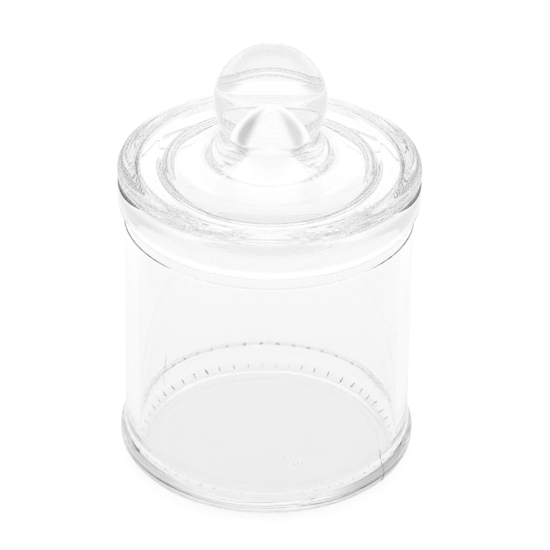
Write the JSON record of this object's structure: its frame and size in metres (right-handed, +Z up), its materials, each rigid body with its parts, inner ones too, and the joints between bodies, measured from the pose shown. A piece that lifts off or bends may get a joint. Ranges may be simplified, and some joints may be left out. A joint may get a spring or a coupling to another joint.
{
  "type": "specimen jar",
  "caption": "Clear straight-sided glass specimen jar with a rolled rim and a spread foot, closed by a lift-off glass lid with a hollow-cored ball knob and a clear seal ring.",
  "frame": {"origin": "centre of the ring that the jar stands on, at table level", "axes": "+Z up along the axis of the jar, from its foot to its knob; the jar is round, so +X and +Y are free"},
  "size_m": [0.0855, 0.0854, 0.1283],
  "materials": {
    "jar_glass": "clear blown glass, fire polished",
    "lid_glass": "clear pressed glass, slightly wavy",
    "seal_plastic": "clear soft vinyl, smooth"
  },
  "bodies": {
    "jar": {"jar": "jar_glass"},
    "seal": {"seal_ring": "seal_plastic"},
    "lid": {"lid": "lid_glass"}
  },
  "joints": [
    {"name": "lid_lift", "type": "slide", "parent": "jar", "child": "seal", "axis": [0, 0, 1], "range_m": [0, 0.06]},
    {"name": "lid_turn", "type": "hinge", "parent": "seal", "child": "lid", "pos_m": [0, 0, 0.0876], "axis": [0, 0, 1], "continuous": true}
  ]
}
